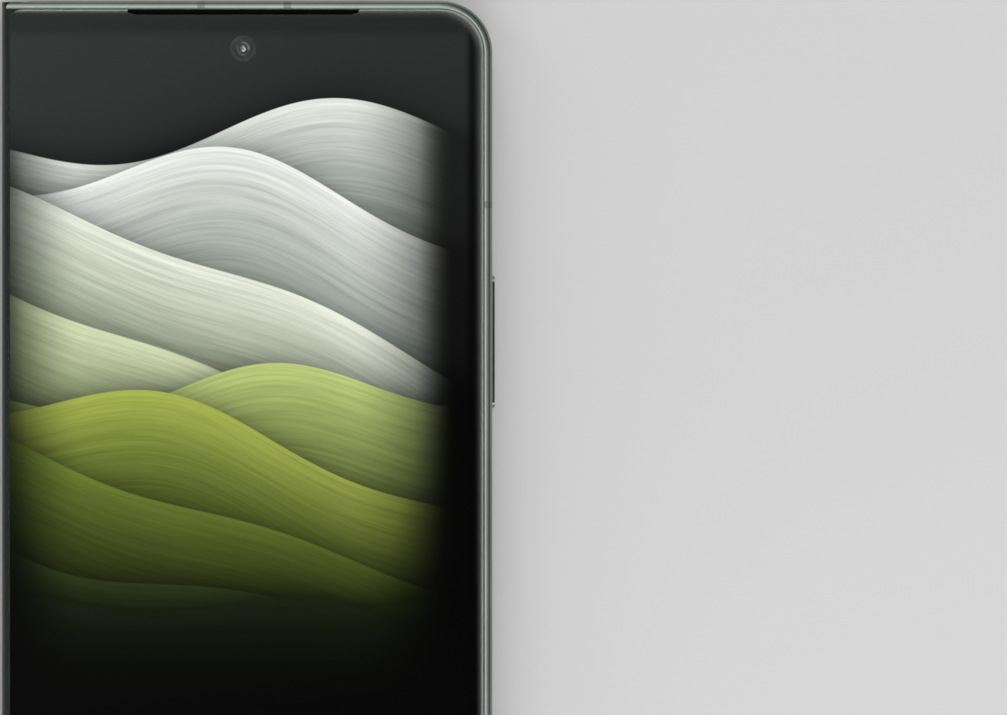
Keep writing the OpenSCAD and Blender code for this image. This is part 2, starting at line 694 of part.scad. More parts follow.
module upper_board() color(board_green) front_half() difference() {
    round_box(board_x0, board_x1, board_y0, end_y - 10.5, bay_top - board_t, bay_top, 1.5);
    for (at = screw_at) post(at, screw_r + 0.05, -4, 0);
}
module front_screws() color(steel) front_half() screws();
module sim_socket() color(steel) front_half() difference() {
    box(tray_x - tray_w / 2 - 0.5, tray_x + tray_w / 2 + 0.5, -end_y + rim_wall, -end_y + tray_l + 2,
        tray_z - 1, bay_top);
    box(tray_x - tray_w / 2 - clear, tray_x + tray_w / 2 + clear, -end_y, -end_y + tray_l + 1.5,
        tray_z - tray_t / 2 - clear, tray_z + tray_t / 2 + clear);
}
module front_speaker() color(black) front_half() speaker_box();
module front_magnet() color(steel) front_half() magnet();
module front_shaft() color(steel) hinge_shaft(-1);
module front_gears() color(gold) gear_pair(-axis_x, axis_z, shaft_teeth,
    meshed_phase(180 - mesh_angle, front_idler_phase), shaft_r + eps);

module spine_cover() color(metal) spine() along_y(-cap_y, cap_y) cover_profile();
module end_caps() color(black) spine() both_ends() difference() {
    along_y(slot_y0, cap_y) cap_profile();
    knuckle_room();
    shaft_bores(slot_y0 - 1, shaft_end + 0.05);
}
module hinge_brackets() color(steel) spine() {
    both_ends() {
        difference() {
            union() {
                along_y(block_y, slot_y0) cap_profile();
                along_y(wall_y0, block_y) bracket_profile();
            }
            shaft_bores(wall_y0 - 1, slot_y0 + 1);
            along_y(gear_y0 - clear, slot_y0 + 1) for (s = [-1, 1]) {
                translate([s * axis_x, axis_z]) circle(shaft_pitch + gear_module + 0.1);
                translate([s * idler_x, idler_z]) circle(idler_pitch + gear_module + 0.05);
            }
        }
        for (s = [-1, 1]) shaft([s * idler_x, idler_z], idler_pin_r, gear_y0 - 0.3, slot_y0);
    }
    for (y = bracket_at) difference() {
        along_y(y - bracket_l / 2, y + bracket_l / 2) bracket_profile();
        shaft_bores(y - bracket_l, y + bracket_l);
    }
}
module friction_washers() color(gold) spine() for (y = bracket_at, s = [-1, 1], e = [-1, 1], i = [0:3])
    translate([0, y + e * (bracket_l / 2 + 0.35 + i * (washer_t + 0.05)), 0]) difference() {
        shaft([s * axis_x, axis_z], 0.8, -washer_t / 2, washer_t / 2);
        shaft([s * axis_x, axis_z], shaft_r + fit_gap, -1, 1);
    }
module centre_plate() color(steel) spine() difference() {
    box(-centre_w, centre_w, -block_y + 0.1, block_y - 0.1, bracket_top, centre_top);
    for (i = [-9:9]) if (i % 6 != 0) box(-1.6, 1.6, i * 8 - 0.3, i * 8 + 0.3, bracket_top - 1, 0);
}

// The screen's bend: the part between two control points turns smoothly from the spine to a half
function turned(a, p) = [cos(a) * p[0] - sin(a) * p[1], sin(a) * p[0] + cos(a) * p[1]];
function fold_point(t, depth) = let(
    w = t * t * (3 - 2 * t), run = fold_end - fold_start, axis = [axis_x, axis_z],
    along = turned(90 * w, [1, 0]), base = axis + turned(90 * w, -axis - [0, depth]),
    s = (t * (run * run) + fold_start * run - base * run) / (along * run)
) base + s * along;
function fold_side(depth) = [for (i = [0:fold_steps]) fold_point(i / fold_steps, depth)];
function flipped(points) = [for (i = [len(points) - 1:-1:0]) [-points[i][0], points[i][1]]];
module folding_screen() color(black) spine() along_y(-screen_y, screen_y) {
    top = flat_x - reach;
    front = concat(fold_side(0), [[face_gap / 2, top]]);
    back = concat(fold_side(panel_t), [[face_gap / 2 + panel_t, top]]);
    polygon(concat(front, [for (i = [len(back) - 1:-1:0]) back[i]],
        [for (p = back) [-p[0], p[1]]], flipped(front)));
}

module rear_idlers() color(gold)
    gear_pair(idler_x, idler_z, idler_teeth, rear_idler_phase, idler_pin_r + fit_gap);
module front_idlers() color(gold)
    gear_pair(-idler_x, idler_z, idler_teeth, front_idler_phase, idler_pin_r + fit_gap);
module rear_swing_plate() color(steel) rear_half() swing_plate();
module front_swing_plate() color(steel) front_half() swing_plate();
module volume_key() color(metal) rear_half() key(volume_y, volume_l, key_out, 1.6);
module power_key() color(metal) rear_half() key(power_y, power_l, power_out, 1.35);
module sim_tray() color(metal) front_half() {
    along_y(-end_y, -end_y + 1.2) tray_outline(tray_w / 2 + 1, 0.8);
    difference() {
        box(tray_x - tray_w / 2, tray_x + tray_w / 2, -end_y + 1.2, -end_y + tray_l,
            tray_z - tray_t / 2, tray_z + tray_t / 2);
        round_box(tray_x - 4.4, tray_x + 4.4, -end_y + 3.6, -end_y + tray_l - 1.1, -half_t, 0, 0.5);
    }
}

rear_frame();
rear_splits();
rear_glass();
camera_deck();
lens_rings();
lens_covers();
camera_modules();
flash_lens();
rear_bezel();
rear_screen();
inner_camera();
main_board();
shield_cans();
board_screws();
rear_battery();
loudspeaker();
haptic_motor();
charge_port();
charge_board();
key_switches();
charging_coil();
rear_magnet();
rear_shaft();
rear_gears();
front_frame();
front_splits();
cover_glass();
cover_screen();
cover_camera();
earpiece_mesh();
earpiece();
front_bezel();
front_screen();
front_battery();
upper_board();
front_screws();
sim_socket();
front_speaker();
front_magnet();
front_shaft();
front_gears();
spine_cover();
end_caps();
hinge_brackets();
friction_washers();
centre_plate();
folding_screen();
rear_idlers();
front_idlers();
rear_swing_plate();
front_swing_plate();
volume_key();
power_key();
sim_tray();
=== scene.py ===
import math

import bmesh
import bpy
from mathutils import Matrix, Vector


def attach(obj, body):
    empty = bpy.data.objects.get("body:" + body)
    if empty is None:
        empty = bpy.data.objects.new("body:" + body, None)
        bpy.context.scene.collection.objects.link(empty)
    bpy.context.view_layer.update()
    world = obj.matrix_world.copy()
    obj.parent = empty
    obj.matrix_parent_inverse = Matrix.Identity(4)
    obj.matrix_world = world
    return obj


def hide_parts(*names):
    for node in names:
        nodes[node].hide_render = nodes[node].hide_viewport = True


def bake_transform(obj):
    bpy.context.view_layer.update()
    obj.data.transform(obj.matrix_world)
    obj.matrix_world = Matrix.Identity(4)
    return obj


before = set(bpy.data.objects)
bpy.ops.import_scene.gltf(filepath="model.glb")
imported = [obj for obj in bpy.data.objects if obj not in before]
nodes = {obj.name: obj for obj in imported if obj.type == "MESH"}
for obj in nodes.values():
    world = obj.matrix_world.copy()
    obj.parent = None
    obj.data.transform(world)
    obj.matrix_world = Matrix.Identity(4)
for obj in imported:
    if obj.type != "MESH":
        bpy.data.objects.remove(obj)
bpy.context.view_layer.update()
print("frame loaded:", len(nodes), "nodes")

mm = 0.001

# The two halves and the spine, as the frame holds them when shut
phone = {
    "halfWidth": 71.75,
    "halfHeight": 78.45,
    "screenGap": 0.6,
    "hingeAxis": (2.0, -1.7),     # across and behind the screen, from the centre line
    "foldStart": (0.3, 0.0),      # where the sheet's blend begins and ends when shut
    "foldEnd": (3.3, 3.5),
    "spineX": -32.025,
    "spineZ": 7.5,
    "panelThick": 0.4,
    "panelEdge": 3.55,            # rim, frame round the screen and its lip
    "panelCorner": 3.95,
}
hingeAcross, hingeBehind = phone["hingeAxis"]
halfX = phone["spineX"] + hingeBehind - hingeAcross     # where a half's own x is nought
rearZ = phone["spineZ"] - phone["screenGap"] / 2
topY = phone["halfHeight"]


# Small helpers for shader trees
def linear(r, g, b):
    return tuple((c / 12.92 if c <= 0.04045 else ((c + 0.055) / 1.055) ** 2.4) for c in (r, g, b)) + (1.0,)


def grey(v):
    return linear(v, v, v)


def newMaterial(name):
    material = bpy.data.materials.new(name)
    material.use_nodes = True
    material.node_tree.nodes.clear()
    return material


def addNode(tree, kind, inputs=None, **options):
    node = tree.nodes.new(kind)
    for key, value in options.items():
        setattr(node, key, value)
    for key, value in (inputs or {}).items():
        if isinstance(value, bpy.types.NodeSocket):
            tree.links.new(value, node.inputs[key])
        else:
            node.inputs[key].default_value = value
    return node


def calc(tree, operation, *values):
    return addNode(tree, "ShaderNodeMath", dict(enumerate(values)), operation=operation).outputs[0]


def ranged(tree, value, low, high, toLow=0.0, toHigh=1.0, smooth=False):
    node = addNode(tree, "ShaderNodeMapRange", {"Value": value, "From Min": low, "From Max": high,
                                                "To Min": toLow, "To Max": toHigh})
    node.interpolation_type = "SMOOTHSTEP" if smooth else "LINEAR"
    return node.outputs["Result"]


def mixColour(tree, factor, a, b, blend="MIX"):
    node = addNode(tree, "ShaderNodeMix", data_type="RGBA", blend_type=blend)
    for index, value in ((0, factor), (6, a), (7, b)):
        if isinstance(value, bpy.types.NodeSocket):
            tree.links.new(value, node.inputs[index])
        else:
            node.inputs[index].default_value = value
    return node.outputs[2]


# A colour times a plain value
def scaled(tree, colour, factor):
    spread = addNode(tree, "ShaderNodeCombineXYZ", {"X": factor, "Y": factor, "Z": factor})
    return mixColour(tree, 1.0, colour, spread.outputs[0], "MULTIPLY")


def noise(tree, vector, scale, detail=3.0, rough=0.5):
    node = addNode(tree, "ShaderNodeTexNoise", {"Vector": vector, "Scale": scale, "Detail": detail,
                                                "Roughness": rough})
    return node.outputs["Fac"]


def ramp(tree, value, stops):
    node = addNode(tree, "ShaderNodeValToRGB", {"Fac": value})
    elements = node.color_ramp.elements
    while len(elements) < len(stops):
        elements.new(0.5)
    for element, (spot, colour) in zip(elements, stops):
        element.position = spot
        element.color = colour
    return node.outputs["Color"]


def bumpNormal(tree, height, distance, strength=1.0):
    node = addNode(tree, "ShaderNodeBump", {"Height": height, "Distance": distance, "Strength": strength})
    return node.outputs["Normal"]


# The place in the frame, in millimetres unless another scale is given
def place(tree, scale=(1000, 1000, 1000), location=(0, 0, 0), turn=(0, 0, 0)):
    coords = addNode(tree, "ShaderNodeTexCoord").outputs["Object"]
    return addNode(tree, "ShaderNodeMapping", {"Vector": coords, "Scale": scale, "Location": location,
                                               "Rotation": turn}).outputs["Vector"]


def shader(material, **inputs):
    tree = material.node_tree
    bsdf = addNode(tree, "ShaderNodeBsdfPrincipled", {k.replace("_", " "): v for k, v in inputs.items()})
    output = addNode(tree, "ShaderNodeOutputMaterial")
    tree.links.new(bsdf.outputs["BSDF"], output.inputs["Surface"])
    return material


# The antenna splits cross the whole width of the rim, at both ends and on the right side
splits = {
    "x": (-6.875, 5.825),
    "y": 48.45,
    "width": 1.1,
    "fromEnd": 77.15,
    "fromSide": 34.72,
    "tone": (0.13, 0.155, 0.14),
    "shine": (0.955, 0.985, 0.965),
    "rough": 0.2,
    "bend": 2.4,
}


# 1 on the splits and 0 elsewhere
def splitMask(tree):
    parts = addNode(tree, "ShaderNodeSeparateXYZ", {"Vector": place(tree)})
    x, y = parts.outputs["X"], calc(tree, "ABSOLUTE", parts.outputs["Y"])

    def near(value, middle):
        gap = calc(tree, "ABSOLUTE", calc(tree, "SUBTRACT", value, middle))
        return calc(tree, "LESS_THAN", gap, splits["width"] / 2)

    pair = calc(tree, "MAXIMUM", *(near(x, middle) for middle in splits["x"]))
    atEnds = calc(tree, "MULTIPLY", pair, calc(tree, "GREATER_THAN", y, splits["fromEnd"]))
    single = near(y, splits["y"])
    atSide = calc(tree, "MULTIPLY", single, calc(tree, "GREATER_THAN", x, splits["fromSide"]))
    return calc(tree, "MAXIMUM", atEnds, atSide)


# Metals: a base tone that shifts a little, brush marks along one axis, and fine handling scratches
def metalFinish(name, tone, shade, rough, brush=(4, 4, 4), brushDepth=0.0, patch=0.06, split=False):
    material = newMaterial(name)
    tree = material.node_tree
    cloud = noise(tree, place(tree, (50,) * 3), 1.0, 4.0)
    marks = noise(tree, place(tree, tuple(b * 1000 for b in brush)), 1.0, 2.0)
    scuffs = noise(tree, place(tree, (900, 7000, 7000), turn=(0, 0, 0.6)), 1.0, 2.0, 0.6)
    colour = mixColour(tree, ranged(tree, cloud, 0.3, 0.7), linear(*tone), linear(*shade))
    worn = ranged(tree, scuffs, 0.35, 0.8, rough, rough + patch)
    roughness = calc(tree, "ADD", worn, ranged(tree, marks, 0.3, 0.7, -0.5 * patch, 0.5 * patch))
    normal = bumpNormal(tree, marks, 0.02 * mm * max(brushDepth, 0.01), 0.6)
    metallic, bend, shine = 1.0, 1.5, (1, 1, 1)
    if split:
        mask = splitMask(tree)
        colour = mixColour(tree, mask, colour, linear(*splits["tone"]))
        metallic = calc(tree, "SUBTRACT", 1.0, mask)
        roughness = calc(tree, "MAXIMUM", roughness, calc(tree, "MULTIPLY", mask, splits["rough"]))
        bend, shine = splits["bend"], splits["shine"]
    return shader(material, Base_Color=colour, Metallic=metallic, Roughness=roughness, Normal=normal,
                  IOR=bend, Specular_Tint=linear(*shine))


# Plastics: moulded grain, whose pits have a size and a depth in mm, and a soft tone shift;
# glow is painted light, an emission that stands for light falling on the part
def plasticFinish(name, tone, rough, grainSize=0.12, grainDepth=0.02, vary=0.12,
                  bend=1.5, shine=(1, 1, 1), glow=(0, 0, 0), level=0.5):
    material = newMaterial(name)
    tree = material.node_tree
    base = linear(*tone)
    darker = tuple(c * (1 - vary) for c in base[:3]) + (1.0,)
    paler = tuple(min(1.0, c * (1 + vary)) for c in base[:3]) + (1.0,)
    grain = noise(tree, place(tree, (1000 / grainSize,) * 3), 1.0, 2.0)
    cloud = noise(tree, place(tree, (60,) * 3), 1.0, 3.0)
    colour = mixColour(tree, calc(tree, "MULTIPLY", cloud, grain), darker, paler)
    roughness = ranged(tree, grain, 0.3, 0.7, rough - 0.04, rough + 0.06)
    normal = bumpNormal(tree, grain, grainDepth * mm, 0.5)
    return shader(material, Base_Color=colour, Roughness=roughness, Normal=normal, IOR=bend,
                  Specular_IOR_Level=level, Specular_Tint=linear(*shine),
                  Emission_Color=linear(*glow), Emission_Strength=1.0)


# Wallpaper: overlapping silk-like waves, pale at the top and falling through green into the dark,
# over a painted reflection: the glass's grey sheen
wallpaper = {
    # Height of the crest, then swing, length and phase of its long wave and of its short one
    "waves": [
        (57.0, 8.5, 24.0, 0.4, 2.6, 9.0, 0.3),
        (46.5, 8.0, 21.0, 1.5, 2.2, 8.0, 1.9),
        (36.0, 8.5, 23.0, 3.0, 2.4, 9.5, 0.2),
        (27.5, 7.0, 19.0, 4.4, 2.0, 8.5, 2.4),
        (19.0, 7.0, 22.0, 0.6, 2.0, 7.5, 1.2),
        (11.0, 6.0, 20.0, 2.2, 1.8, 8.0, 3.1),
        (3.5, 6.0, 23.0, 3.7, 1.8, 9.0, 0.9),
        (-5.0, 5.5, 21.0, 5.2, 1.6, 8.0, 2.2),
        (-14.0, 5.0, 24.0, 0.9, 1.6, 7.5, 0.1),
    ],
    "lean": -0.17,
    # Each wave's tone at its crest and far below it
    "tones": [
        ((0.95, 0.97, 0.94), (0.56, 0.60, 0.57)),
        ((0.98, 0.99, 0.97), (0.60, 0.65, 0.60)),
        ((0.96, 0.98, 0.92), (0.58, 0.64, 0.51)),
        ((0.90, 0.94, 0.77), (0.50, 0.58, 0.35)),
        ((0.81, 0.87, 0.54), (0.42, 0.50, 0.20)),
        ((0.72, 0.78, 0.36), (0.30, 0.38, 0.12)),
        ((0.52, 0.60, 0.24), (0.20, 0.26, 0.10)),
        ((0.34, 0.42, 0.20), (0.12, 0.17, 0.09)),
        ((0.22, 0.28, 0.16), (0.06, 0.09, 0.05)),
    ],
    "depth": 11.0,         # how far below its crest a wave darkens
    "edge": 0.22,          # how soft its crest is
    "shadow": 2.6,         # how far it dims what is behind it
    "fade": (-30, 30),     # heights between which the waves come out of the dark
    "thread": {"along": 0.035, "across": 1.1, "scale": 1.6, "low": 0.72, "high": 1.12},
    # Behind the waves: a painted reflection, the glass's grey sheen, in tones from the lowest height of
    # the span to the highest, paler at the left
    "span": (-30, 78),
    "behind": [
        (0.0, (0.0, 0.0, 0.0)),
        (0.18, (0.024, 0.024, 0.024)),
        (0.25, (0.033, 0.037, 0.033)),
        (0.32, (0.066, 0.072, 0.066)),
        (0.39, (0.09, 0.097, 0.092)),
        (0.46, (0.122, 0.13, 0.125)),
        (0.53, (0.15, 0.16, 0.154)),
        (0.73, (0.187, 0.196, 0.192)),
        (1.0, (0.212, 0.222, 0.218)),
    ],
    "across": (-33, 32),
    "atRight": 0.7,
}


# sides is how bright the silk stays towards the picture's left and right edges, and backdrop how
# bright the painted reflection behind it is
def waveColours(tree, x, y, sides, backdrop=1.0):
    settings = wallpaper
    # What lies behind the waves starts as the painted reflection of the glass's grey sheen
    stops = [(spot, linear(*tone)) for spot, tone in settings["behind"]]
    across = ranged(tree, x, *settings["across"], backdrop, settings["atRight"] * backdrop)
    behind = scaled(tree, ramp(tree, ranged(tree, y, *settings["span"]), stops), across)
    fade = calc(tree, "MULTIPLY", ranged(tree, y, *settings["fade"], smooth=True), sides)
    thread = settings["thread"]

    def swing(length, phase):
        return calc(tree, "SINE", calc(tree, "MULTIPLY_ADD", x, 1 / length, phase))

    def decay(distance, length):
        return calc(tree, "EXPONENT", calc(tree, "DIVIDE", distance, length))

    for wave, (light, dark) in zip(settings["waves"], settings["tones"]):
        level, longSwing, longLength, longPhase, shortSwing, shortLength, shortPhase = wave
        sloped = calc(tree, "MULTIPLY_ADD", x, settings["lean"], level)
        small = calc(tree, "MULTIPLY_ADD", swing(shortLength, shortPhase), shortSwing, sloped)
        crest = calc(tree, "MULTIPLY_ADD", swing(longLength, longPhase), longSwing, small)
        below = calc(tree, "SUBTRACT", crest, y)
        inside = ranged(tree, below, 0.0, settings["edge"], smooth=True)
        fall = decay(calc(tree, "MAXIMUM", below, 0.0), -settings["depth"])
        along = addNode(tree, "ShaderNodeCombineXYZ", {
            "X": calc(tree, "MULTIPLY", x, thread["along"]),
            "Y": calc(tree, "MULTIPLY", below, thread["across"]), "Z": level})
        grain = noise(tree, along.outputs[0], thread["scale"], 4.0, 0.65)
        threads = ranged(tree, grain, 0.25, 0.75, thread["low"], thread["high"])
        lit = mixColour(tree, fall, linear(*dark), linear(*light))
        silk = scaled(tree, lit, calc(tree, "MULTIPLY", threads, fade))
        cast = decay(calc(tree, "MINIMUM", below, 0.0), settings["shadow"])
        shaded = scaled(tree, behind, calc(tree, "MULTIPLY_ADD", cast, -0.5, 1.0))
        cover = calc(tree, "MULTIPLY", inside, ranged(tree, fade, 0.0, 0.3))
        behind = mixColour(tree, cover, shaded, silk)
    return behind


# The cover picture runs under the curved glass. Towards its right edge and its ends it is darkened
# by painted shade, where the glass curves down. Each row holds where a change begins and ends, and
# the brightness at its ends.
coverPicture = {
    "right": (31.8, 33.1, 1.0, 0.2),
    "ends": (72.6, 74.6, 1.0, 0.72),
    "silkRight": (31.5, 14.0, 0.0, 1.0),
    "silkLeft": (-37.0, -24.0, 0.12, 1.0),
}


def coverPanelMaterial():
    material = newMaterial("coverPanelLit")
    tree = material.node_tree
    parts = addNode(tree, "ShaderNodeSeparateXYZ", {"Vector": place(tree)})
    x, y = parts.outputs["X"], parts.outputs["Y"]

    def change(value, row):
        return ranged(tree, value, *coverPicture[row], smooth=True)

    # Painted shade: the picture darkened under the glass's curved right edge and at both ends
    paintedEdgeShade = calc(tree, "MULTIPLY", change(x, "right"), change(calc(tree, "ABSOLUTE", y), "ends"))
    sides = calc(tree, "MULTIPLY", change(x, "silkRight"), change(x, "silkLeft"))
    colour = scaled(tree, waveColours(tree, x, y, sides), paintedEdgeShade)
    return shader(material, Base_Color=grey(0.02), Roughness=0.35, Emission_Color=colour,
                  Emission_Strength=1.0)


# The inner picture stops at a narrow black border and has round corners
innerPicture = {
    "reach": (67.2, 73.95),
    "corner": 3.3,
    "edge": 0.1,
    # backdrop: how bright the painted reflection behind the silk is
    "backdrop": 0.37,
    "silk": (67.0, 50.0),
}


def innerScreenMaterial():
    material = newMaterial("innerScreenLit")
    tree = material.node_tree
    sheetPlace = addNode(tree, "ShaderNodeUVMap", uv_map="sheetPlace").outputs["UV"]
    parts = addNode(tree, "ShaderNodeSeparateXYZ", {"Vector": sheetPlace})
    u = calc(tree, "MULTIPLY", parts.outputs["X"], 1000.0)
    y = calc(tree, "MULTIPLY", parts.outputs["Y"], 1000.0)
    sides = ranged(tree, calc(tree, "ABSOLUTE", u), *innerPicture["silk"], smooth=True)
    picture = waveColours(tree, calc(tree, "ADD", u, halfX), y, sides, innerPicture["backdrop"])
    corner, edge = innerPicture["corner"], innerPicture["edge"]

    def beyond(value, reach):
        past = calc(tree, "SUBTRACT", calc(tree, "ABSOLUTE", value), reach - corner)
        return calc(tree, "MAXIMUM", past, 0.0)

    reachU, reachY = innerPicture["reach"]
    outwards = addNode(tree, "ShaderNodeCombineXYZ", {"X": beyond(u, reachU), "Y": beyond(y, reachY)})
    far = addNode(tree, "ShaderNodeVectorMath", {0: outwards.outputs[0]}, operation="LENGTH")
    inside = ranged(tree, far.outputs["Value"], corner + edge, corner - edge)
    colour = mixColour(tree, inside, grey(0.0), picture)
    ripple = noise(tree, place(tree, (4000,) * 3), 1.0, 2.0)
    return shader(material, Base_Color=grey(0.012), Roughness=ranged(tree, ripple, 0.3, 0.7, 0.1, 0.13),
                  Specular_IOR_Level=0.4, Emission_Color=colour, Emission_Strength=0.66, Coat_Weight=0.25,
                  Coat_Roughness=0.05)


def glassMaterial(name, tint, rough, haze=0.0, bend=1.5):
    material = newMaterial(name)
    tree = material.node_tree
    smear = noise(tree, place(tree, (35, 60, 35)), 1.0, 4.0, 0.6)
    roughness = ranged(tree, smear, 0.35, 0.75, rough, rough + haze)
    return shader(material, Base_Color=linear(*tint), Roughness=roughness, Transmission_Weight=1.0, IOR=bend)


# Satin-etched glass over a dark green film that pales a little towards the top
def rearGlassMaterial():
    material = newMaterial("rearGlassSatin")
    tree = material.node_tree
    where = place(tree)
    height = addNode(tree, "ShaderNodeSeparateXYZ", {"Vector": where}).outputs["Y"]
    film = ramp(tree, ranged(tree, height, -78, 78), [
        (0.0, linear(0.115, 0.175, 0.145)),
        (0.5, linear(0.145, 0.215, 0.18)),
        (1.0, linear(0.20, 0.275, 0.235))])
    sparkle = addNode(tree, "ShaderNodeTexVoronoi", {"Vector": place(tree, (9000,) * 3), "Scale": 1.0})
    glints = ranged(tree, sparkle.outputs["Distance"], 0.0, 0.35, 1.5, 1.0)
    etch = noise(tree, place(tree, (12000,) * 3), 1.0, 2.0)
    roughness = ranged(tree, etch, 0.3, 0.7, 0.26, 0.36)
    return shader(material, Base_Color=scaled(tree, film, glints), Metallic=0.35, Roughness=roughness,
                  Normal=bumpNormal(tree, etch, 0.004 * mm, 0.4), Coat_Weight=0.35, Coat_Roughness=0.22)


def boardMaterial():
    material = newMaterial("boardGreen")
    tree = material.node_tree
    tracks = addNode(tree, "ShaderNodeTexBrick", {
        "Vector": place(tree), "Color1": linear(0.05, 0.23, 0.14), "Color2": linear(0.07, 0.28, 0.17),
        "Mortar": linear(0.16, 0.40, 0.24), "Scale": 0.4, "Mortar Size": 0.03})
    roughness = ranged(tree, noise(tree, place(tree, (4000,) * 3), 1.0, 2.0), 0.3, 0.7, 0.3, 0.45)
    return shader(material, Base_Color=tracks.outputs["Color"], Roughness=roughness,
                  Normal=bumpNormal(tree, tracks.outputs["Fac"], 0.03 * mm, 0.5))


def foilMaterial():
    material = newMaterial("cellFoil")
    tree = material.node_tree
    creases = noise(tree, place(tree, (300, 120, 300)), 1.0, 5.0, 0.6)
    colour = mixColour(tree, creases, linear(0.20, 0.20, 0.21), linear(0.30, 0.30, 0.31))
    roughness = ranged(tree, creases, 0.3, 0.7, 0.3, 0.5)
    return shader(material, Base_Color=colour, Metallic=0.8, Roughness=roughness,
                  Normal=bumpNormal(tree, creases, 0.05 * mm, 0.6))


# Fine woven steel over the earpiece
def meshMaterial():
    material = newMaterial("earpieceWeave")
    tree = material.node_tree
    parts = addNode(tree, "ShaderNodeSeparateXYZ", {"Vector": place(tree)})
    pitch = 0.16
    rows, columns = (calc(tree, "SINE", calc(tree, "MULTIPLY", parts.outputs[axis], 2 * math.pi / pitch))
                     for axis in ("X", "Y"))
    weave = calc(tree, "MULTIPLY", rows, columns)
    colour = mixColour(tree, ranged(tree, weave, -0.4, 0.5), grey(0.004), grey(0.05))
    return shader(material, Base_Color=colour, Roughness=0.6, Specular_IOR_Level=0.03,
                  Normal=bumpNormal(tree, weave, 0.03 * mm, 0.8))


# A moulded lens: fine rings about its own middle
def flashMaterial(centre):
    material = newMaterial("flashLensRings")
    tree = material.node_tree
    offset = place(tree, (1000, 1000, 0), (-centre[0], -centre[1], 0))
    radius = addNode(tree, "ShaderNodeVectorMath", {0: offset}, operation="LENGTH").outputs["Value"]
    pitch = 0.3
    rings = calc(tree, "SINE", calc(tree, "MULTIPLY", radius, 2 * math.pi / pitch))
    colour = mixColour(tree, ranged(tree, radius, 0.2, 1.6), linear(0.93, 0.86, 0.55),
                       linear(0.90, 0.89, 0.84))
    return shader(material, Base_Color=colour, Roughness=0.2, Normal=bumpNormal(tree, rings, 0.05 * mm, 0.7),
                  Coat_Weight=0.6)


# Dark lens element whose coating turns colour towards its edge; glow stands for the light that
# comes in through the glass above it
def coatedLens(name, tint, rim, metallic=0.0, glow=(0, 0, 0), coat=1.0):
    material = newMaterial(name)
    tree = material.node_tree
    facing = addNode(tree, "ShaderNodeLayerWeight", {"Blend": 0.35}).outputs["Facing"]
    colour = ramp(tree, facing, [(0.0, linear(*tint)), (0.35, linear(*rim)), (1.0, grey(0.01))])
    return shader(material, Base_Color=colour, Metallic=metallic, Roughness=0.04, Coat_Weight=coat,
                  Coat_Roughness=0.02, Emission_Color=linear(*glow), Emission_Strength=1.0)


rimTones = (0.53, 0.56, 0.54), (0.49, 0.52, 0.50)
frameMetal = metalFinish("frameMetalPolished", *rimTones, 0.13, (2, 2, 2), 0.5, split=True)
keyMetal = metalFinish("keyMetalPolished", *rimTones, 0.13, (2, 2, 2), 0.5)
# Painted shade: the spine carries the frame's metal at a much darker tone, for the dim light on its side
shadedSpineMetal = metalFinish("spineMetalPolished", (0.21, 0.235, 0.22), (0.18, 0.205, 0.19), 0.12,
                         (6, 0.3, 6), 1.0)
deckMetal = metalFinish("deckMetalSatin", (0.36, 0.42, 0.38), (0.32, 0.38, 0.345), 0.34, (9, 9, 9), 2.0)
ringMetal = metalFinish("ringMetalPolished", (0.62, 0.64, 0.62), (0.56, 0.58, 0.57), 0.14, (6, 6, 6), 0.5)
stampedSteel = metalFinish("stampedSteel", (0.66, 0.67, 0.68), (0.58, 0.59, 0.60), 0.28, (1, 6, 1), 2.0)
darkSteel = metalFinish("darkSteel", (0.20, 0.205, 0.21), (0.15, 0.155, 0.16), 0.38, (1, 6, 1), 2.0)
giltMetal = metalFinish("giltMetal", (0.80, 0.66, 0.36), (0.70, 0.55, 0.28), 0.25, (4, 4, 4), 1.0)

splitPlastic = plasticFinish("splitPlastic", splits["tone"], splits["rough"], 0.1, 0.006, 0.05,
                             splits["bend"], splits["shine"])
bezelPlastic = plasticFinish("bezelPlastic", (0.125, 0.133, 0.13), 0.48, 0.09, 0.015, level=0.3)
hingeBlack = plasticFinish("hingeBlack", (0.07, 0.07, 0.075), 0.5, 0.12, 0.02)
moduleBlack = plasticFinish("moduleBlack", (0.03, 0.03, 0.033), 0.42, 0.08, 0.01)
speakerPlastic = plasticFinish("speakerPlastic", (0.06, 0.06, 0.065), 0.5, 0.2, 0.03)
# The cover camera's ring: a dark grey whose glow is painted light, for the light coming in through the cover
# glass
cameraGrey = plasticFinish("cameraGrey", (0.10, 0.105, 0.10), 0.5, 0.08, 0.005, 0.06,
                           glow=(0.178, 0.188, 0.183))
innerBlack = plasticFinish("innerBlack", (0.01, 0.01, 0.011), 0.6, 0.08, 0.005, level=0.1)

coverGlass = glassMaterial("coverGlassClear", (1.0, 1.0, 1.0), 0.0, 0.02, 1.62)
lensCoverGlass = glassMaterial("lensCoverGlass", (0.97, 0.98, 1.0), 0.0)
lensCoating = coatedLens("lensCoating", (0.10, 0.12, 0.30), (0.02, 0.035, 0.06))
frontLensCoating = coatedLens("frontLensCoating", (0.13, 0.135, 0.135), (0.10, 0.105, 0.105),
                              glow=(0.205, 0.218, 0.211))
pupilCoating = coatedLens("pupilCoating", (0.66, 0.67, 0.68), (0.50, 0.52, 0.54), 0.9)
innerLensCoating = coatedLens("innerLensCoating", (0.07, 0.07, 0.075), (0.03, 0.03, 0.033), coat=0.08)
innerPupilCoating = coatedLens("innerPupilCoating", (0.43, 0.44, 0.45), (0.28, 0.29, 0.31), 0.9, coat=0.1)
print("materials made")

